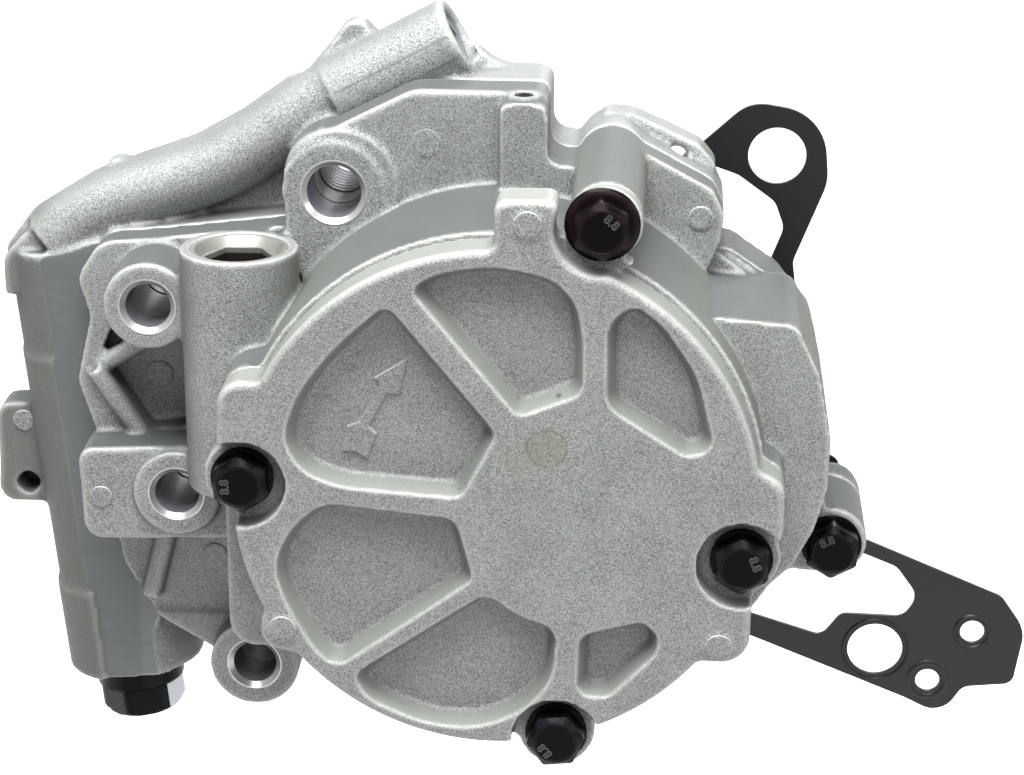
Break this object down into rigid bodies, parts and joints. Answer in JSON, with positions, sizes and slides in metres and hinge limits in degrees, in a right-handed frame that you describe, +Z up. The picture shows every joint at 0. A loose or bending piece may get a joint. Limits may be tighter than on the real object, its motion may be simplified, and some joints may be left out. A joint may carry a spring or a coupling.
{
  "type": "engine oil pump",
  "caption": "Tandem engine oil and vacuum pump with ribbed cover, bolted castings, leaning relief barrel, steel gasket and turning rotors.",
  "frame": {"origin": "on the drive axis, in the rear mounting face", "axes": "+Z up as in the picture, +Y along the drive axis towards the engine block, +X to the viewer's right"},
  "size_m": [0.2191, 0.0955, 0.1593],
  "materials": {
    "cast_aluminium": "as cast and blasted",
    "machined_aluminium": "machined",
    "black_steel": "black coated steel",
    "gasket_steel": "satin black coating",
    "bright_steel": "ground",
    "sintered_steel": "sintered",
    "bearing_bronze": "bearing lining",
    "vane_plastic": "moulded",
    "seal_rubber": "moulded rubber",
    "spring_steel": "drawn wire",
    "washer_aluminium": "soft washer"
  },
  "bodies": {
    "casing": {"vacuum_cover": "cast_aluminium", "pump_housing": "cast_aluminium", "rear_body": "cast_aluminium", "cover_bolts": "black_steel", "long_flange_bolt": "black_steel", "side_bolt": "black_steel", "body_screws": "black_steel", "cover_seal": "seal_rubber", "rotor_bush": "bearing_bronze", "shaft_bush": "bearing_bronze", "relief_plug": "black_steel", "relief_plug_washer": "washer_aluminium", "tower_plug": "bright_steel", "steel_gasket": "gasket_steel", "dowel_sleeves": "bright_steel", "duct_plug": "machined_aluminium"},
    "drive": {"drive_shaft": "bright_steel", "vacuum_rotor": "sintered_steel", "oil_inner_rotor": "sintered_steel", "drive_sprocket": "sintered_steel", "sprocket_bolt": "black_steel", "sprocket_washer": "bright_steel"},
    "outer_rotor": {"oil_outer_rotor": "sintered_steel"},
    "vane_middle": {"vane_pin": "bright_steel"},
    "vane": {"vacuum_vane": "vane_plastic"},
    "relief_valve": {"relief_piston": "bright_steel", "relief_spring": "spring_steel"},
    "check_valve": {"check_ball": "bright_steel", "check_spring": "spring_steel"}
  },
  "joints": [
    {"name": "shaft_spin", "type": "hinge", "parent": "casing", "child": "drive", "pos_m": [0, 0, 0], "axis": [0, 1, 0], "continuous": true},
    {"name": "outer_rotor_spin", "type": "hinge", "parent": "casing", "child": "outer_rotor", "pos_m": [-0.002, 0, 0], "axis": [0, 1, 0], "continuous": true},
    {"name": "vane_orbit", "type": "hinge", "parent": "casing", "child": "vane_middle", "pos_m": [-0.009, 0, 0], "axis": [0, 1, 0], "continuous": true},
    {"name": "vane_turn", "type": "hinge", "parent": "vane_middle", "child": "vane", "pos_m": [0, 0, 0], "axis": [0, 1, 0], "continuous": true},
    {"name": "relief_slide", "type": "slide", "parent": "casing", "child": "relief_valve", "axis": [0.0969, 0, -0.9953], "range_m": [0, 0.006], "stiffness_N_per_m": 4000, "springref_m": -0.01, "deforming": ["relief_spring"]},
    {"name": "check_slide", "type": "slide", "parent": "casing", "child": "check_valve", "axis": [0, 0, 1], "range_m": [0, 0.0025], "stiffness_N_per_m": 300, "springref_m": -0.003, "deforming": ["check_spring"]}
  ],
  "couplings": [
    {"joint": "outer_rotor_spin", "follows": "shaft_spin", "ratio": 0.88889},
    {"joint": "vane_orbit", "follows": "shaft_spin", "ratio": 2},
    {"joint": "vane_turn", "follows": "shaft_spin", "ratio": -1}
  ]
}
